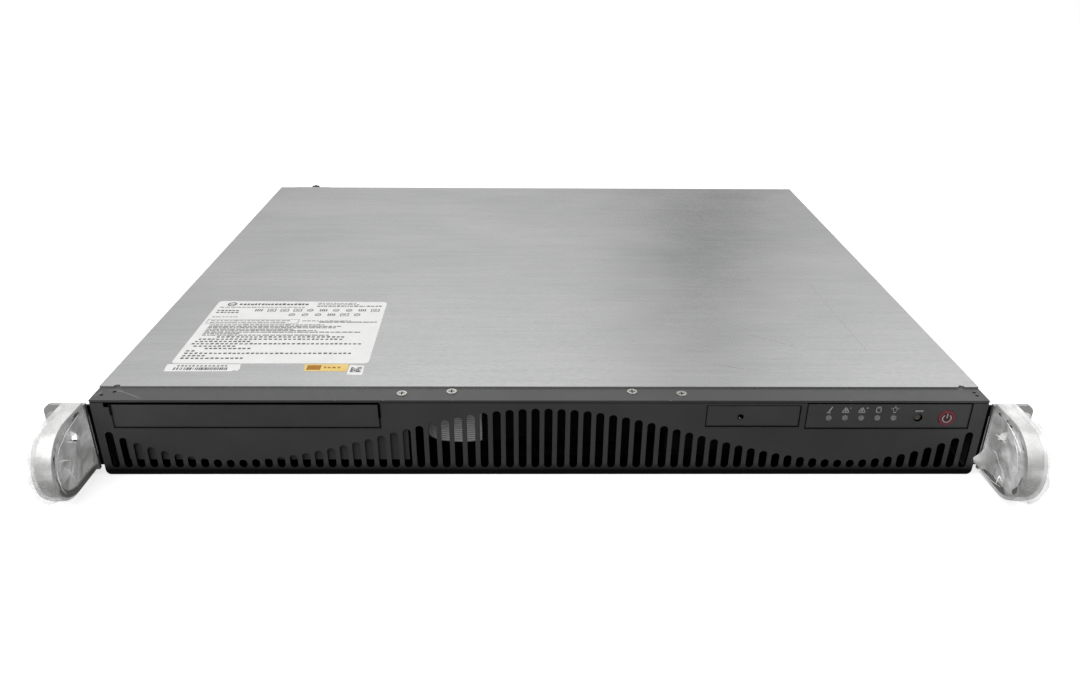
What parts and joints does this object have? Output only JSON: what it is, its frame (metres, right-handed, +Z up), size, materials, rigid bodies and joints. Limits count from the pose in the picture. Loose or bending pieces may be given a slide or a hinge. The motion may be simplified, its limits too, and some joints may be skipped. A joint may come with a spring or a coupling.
{
  "type": "rack server",
  "caption": "Short-depth one-unit rack server with a wave-slotted black front, side handles, slide-off steel cover and a blower-cooled interior.",
  "frame": {"origin": "on the surface it stands on, under the middle of the whole server's bounding box", "axes": "+X to the server's left-hand rack ear as seen from behind (the viewer's right when facing its front), +Y from the front panel to the rear, +Z up"},
  "size_m": [0.4826, 0.416, 0.0436],
  "materials": {
    "galvanised_cover": "brushed zinc-coated sheet steel",
    "galvanised_sheet": "plain zinc-coated sheet steel",
    "black_paint": "matte black powder coat",
    "black_plastic": "fine matte moulding",
    "handle_metal": "satin, silver-grey",
    "bright_screw": "nickel-plated, bright",
    "clear_film": "clear polythene film",
    "lens_grey": "translucent grey",
    "button_red": "dark red translucent cap",
    "board_green": "solder mask",
    "chip_black": "moulded package",
    "heatsink_metal": "extruded",
    "cast_metal": "die-cast, satin",
    "ribbon_grey": "flat grey cable jacket",
    "brass_post": "turned",
    "socket_plastic": "ivory moulding"
  },
  "bodies": {
    "chassis": {"air_shroud": "black_plastic", "blower_bracket": "galvanised_sheet", "blower_housing": "black_plastic", "board_components": "chip_black", "board_screws": "bright_screw", "board_sockets": "socket_plastic", "board_standoffs": "brass_post", "chassis_tray": "galvanised_sheet", "chipset_heatsink": "heatsink_metal", "control_board": "board_green", "control_panel_plate": "black_plastic", "control_ribbon": "ribbon_grey", "drive_screws": "bright_screw", "ear_bracket_left": "black_paint", "ear_bracket_right": "black_paint", "ear_screws": "bright_screw", "fan_guard": "bright_screw", "front_panel": "black_paint", "handle_film_left": "clear_film", "handle_film_right": "clear_film", "handle_left": "handle_metal", "handle_right": "handle_metal", "hard_drive_left": "cast_metal", "hard_drive_right": "cast_metal", "heatsink_screws": "bright_screw", "io_shield": "galvanised_sheet", "keyboard_port": "bright_screw", "memory_modules": "board_green", "memory_sockets": "chip_black", "motherboard": "board_green", "network_ports": "bright_screw", "optical_bay_blank": "black_plastic", "optical_bay_bracket": "black_paint", "port_bay_blank": "black_plastic", "port_bay_screw": "bright_screw", "power_inlet": "chip_black", "power_supply_case": "galvanised_sheet", "power_supply_circuit": "board_green", "power_supply_fan_frame": "chip_black", "processor": "cast_metal", "processor_heatsink": "heatsink_metal", "rear_panel": "galvanised_sheet", "ribbon_plugs": "chip_black", "riser_card": "board_green", "serial_port": "bright_screw", "slot_cover": "bright_screw", "status_lenses": "lens_grey", "strip_screws": "bright_screw", "usb_ports": "bright_screw", "video_port": "bright_screw"},
    "top_cover": {"top_cover": "galvanised_cover"},
    "cover_thumbscrew": {"cover_thumbscrew": "chip_black"},
    "power_button": {"power_button": "button_red"},
    "reset_button": {"reset_button": "black_plastic"},
    "blower_impeller": {"blower_impeller": "black_plastic"},
    "power_supply_fan": {"power_supply_fan": "chip_black"},
    "memory_latch_inner_front": {"memory_latch_inner_front": "socket_plastic"},
    "memory_latch_inner_rear": {"memory_latch_inner_rear": "socket_plastic"},
    "memory_latch_outer_front": {"memory_latch_outer_front": "socket_plastic"},
    "memory_latch_outer_rear": {"memory_latch_outer_rear": "socket_plastic"}
  },
  "joints": [
    {"name": "cover_slide", "type": "slide", "parent": "chassis", "child": "top_cover", "axis": [0, 1, 0], "range_m": [0, 0.38]},
    {"name": "thumbscrew_turn", "type": "hinge", "parent": "top_cover", "child": "cover_thumbscrew", "pos_m": [-0.191, 0.19955, 0.0386], "axis": [0, 1, 0], "continuous": true},
    {"name": "power_button_press", "type": "slide", "parent": "chassis", "child": "power_button", "axis": [0, 1, 0], "range_m": [0, 0.0008], "stiffness_N_per_m": 400},
    {"name": "reset_button_press", "type": "slide", "parent": "chassis", "child": "reset_button", "axis": [0, 1, 0], "range_m": [0, 0.0008], "stiffness_N_per_m": 400},
    {"name": "blower_spin", "type": "hinge", "parent": "chassis", "child": "blower_impeller", "pos_m": [0, -0.09635, 0.02], "axis": [0, 0, 1], "continuous": true},
    {"name": "power_supply_fan_spin", "type": "hinge", "parent": "chassis", "child": "power_supply_fan", "pos_m": [-0.14, 0.18665, 0.021], "axis": [0, 1, 0], "continuous": true},
    {"name": "latch_inner_front_tilt", "type": "hinge", "parent": "chassis", "child": "memory_latch_inner_front", "pos_m": [0.104, -0.02875, 0.012], "axis": [1, 0, 0], "range_deg": [0, 30]},
    {"name": "latch_inner_rear_tilt", "type": "hinge", "parent": "chassis", "child": "memory_latch_inner_rear", "pos_m": [0.104, 0.1154, 0.012], "axis": [-1, 0, 0], "range_deg": [0, 30]},
    {"name": "latch_outer_front_tilt", "type": "hinge", "parent": "chassis", "child": "memory_latch_outer_front", "pos_m": [0.116, -0.02875, 0.012], "axis": [1, 0, 0], "range_deg": [0, 30]},
    {"name": "latch_outer_rear_tilt", "type": "hinge", "parent": "chassis", "child": "memory_latch_outer_rear", "pos_m": [0.116, 0.1154, 0.012], "axis": [-1, 0, 0], "range_deg": [0, 30]}
  ]
}
